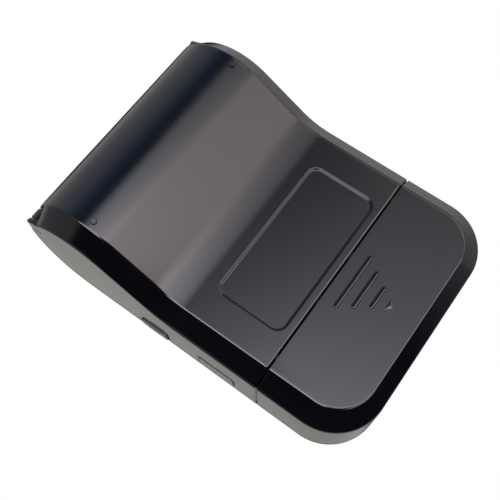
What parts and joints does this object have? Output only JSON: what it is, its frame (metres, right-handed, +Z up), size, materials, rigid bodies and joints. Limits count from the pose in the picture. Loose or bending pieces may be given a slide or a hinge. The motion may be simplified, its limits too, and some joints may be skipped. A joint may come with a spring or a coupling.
{
  "type": "portable ticket printer",
  "caption": "Pocket thermal ticket printer with a hinged paper cover that carries the platen, a round paper bay, a sliding battery door and a gear-driven print mechanism.",
  "frame": {"origin": "on the tabletop, under the middle of the printer's bounding box, with the printer lying on its back as it does on a table", "axes": "+Z up from the tabletop; +Y from the battery end to the paper roll end; +X towards the side with the release button and the charging port"},
  "size_m": [0.0764, 0.1114, 0.0473],
  "materials": {
    "gloss_black": "gloss piano black",
    "matte_black": "fine matte",
    "rubber_black": "matte rubber",
    "steel": "bright zinc or nickel",
    "brass": "machined",
    "aluminium": "plain extruded",
    "white_plastic": "moulded acetal",
    "circuit_board": "solder mask",
    "chip_black": "moulded",
    "ceramic": "glazed ceramic",
    "paper": "smooth thermal paper",
    "cardboard": "raw cardboard",
    "cell_wrap": "shrink wrap",
    "clear_lens": "frosted clear",
    "amber_film": "polyimide film"
  },
  "bodies": {
    "case": {"lower_shell": "gloss_black", "upper_housing": "gloss_black", "power_switch": "steel", "feed_switch": "steel", "power_lens": "clear_lens", "link_lens": "clear_lens", "paper_lens": "clear_lens", "hinge_pin_left": "steel", "hinge_pin_right": "steel", "idler_axle": "steel", "motor_shaft": "steel", "stepper_motor": "steel", "mech_frame": "matte_black", "head_spring_left": "steel", "head_spring_right": "steel", "head_flex": "amber_film", "paper_guide": "matte_black", "paper_sensor": "chip_black", "tear_bar": "steel", "main_board": "circuit_board", "wireless_module": "steel", "controller_chip": "chip_black", "buffer_capacitor": "aluminium", "usb_socket": "steel", "release_spring": "steel", "battery_pack": "cell_wrap", "battery_contact_left": "brass", "battery_contact_right": "brass", "case_screw_1": "steel", "case_screw_2": "steel", "case_screw_3": "steel", "case_screw_4": "steel", "mech_screw_1": "steel", "mech_screw_2": "steel", "board_screw_1": "steel", "board_screw_2": "steel"},
    "cover": {"paper_cover": "gloss_black", "platen_bush_left": "brass", "platen_bush_right": "brass"},
    "platen": {"platen_roller": "rubber_black", "platen_shaft": "steel", "platen_gear": "white_plastic"},
    "roll": {"paper_roll": "paper", "roll_core": "cardboard"},
    "idler": {"idler_gear": "white_plastic"},
    "pinion": {"motor_pinion": "brass"},
    "head": {"print_head": "ceramic", "head_heatsink": "aluminium"},
    "door": {"battery_door": "gloss_black"},
    "power_key": {"power_button": "matte_black"},
    "feed_key": {"feed_button": "matte_black"},
    "release": {"release_button": "gloss_black"},
    "port_flap": {"port_cover": "rubber_black"}
  },
  "joints": [
    {"name": "cover_hinge", "type": "hinge", "parent": "case", "child": "cover", "pos_m": [-0.00025, 0.0522, 0.01782], "axis": [-1, 0, 0], "range_deg": [0, 100]},
    {"name": "platen_spin", "type": "hinge", "parent": "cover", "child": "platen", "pos_m": [-0.00025, 0.0123, 0.03151], "axis": [1, 0, 0], "continuous": true},
    {"name": "idler_spin", "type": "hinge", "parent": "case", "child": "idler", "pos_m": [-0.00025, 0.00848, 0.02506], "axis": [1, 0, 0], "continuous": true},
    {"name": "pinion_spin", "type": "hinge", "parent": "case", "child": "pinion", "pos_m": [-0.00025, 0.00034, 0.01842], "axis": [1, 0, 0], "continuous": true},
    {"name": "roll_spin", "type": "hinge", "parent": "case", "child": "roll", "pos_m": [-0.00025, 0.03613, 0.01977], "axis": [1, 0, 0], "continuous": true},
    {"name": "head_pivot", "type": "hinge", "parent": "case", "child": "head", "pos_m": [-0.00025, 0.00558, 0.02606], "axis": [1, 0, 0], "range_deg": [0, 1.5], "stiffness_Nm_per_rad": 0.2},
    {"name": "door_slide", "type": "slide", "parent": "case", "child": "door", "axis": [0, -0.9871, -0.1602], "range_m": [0, 0.032]},
    {"name": "power_press", "type": "slide", "parent": "case", "child": "power_key", "axis": [0, 0.1602, -0.9871], "range_m": [0, 0.0005], "stiffness_N_per_m": 1500},
    {"name": "feed_press", "type": "slide", "parent": "case", "child": "feed_key", "axis": [0, 0.1602, -0.9871], "range_m": [0, 0.0005], "stiffness_N_per_m": 1500},
    {"name": "release_press", "type": "slide", "parent": "case", "child": "release", "axis": [-1, 0, 0], "range_m": [0, 0.0012], "stiffness_N_per_m": 1500},
    {"name": "flap_hinge", "type": "hinge", "parent": "case", "child": "port_flap", "pos_m": [0.03795, -0.0114, 0.0227], "axis": [0, 0.9871, 0.1602], "range_deg": [0, 110]}
  ],
  "couplings": [
    {"joint": "idler_spin", "follows": "platen_spin", "ratio": -1.5},
    {"joint": "pinion_spin", "follows": "platen_spin", "ratio": 4.8}
  ]
}
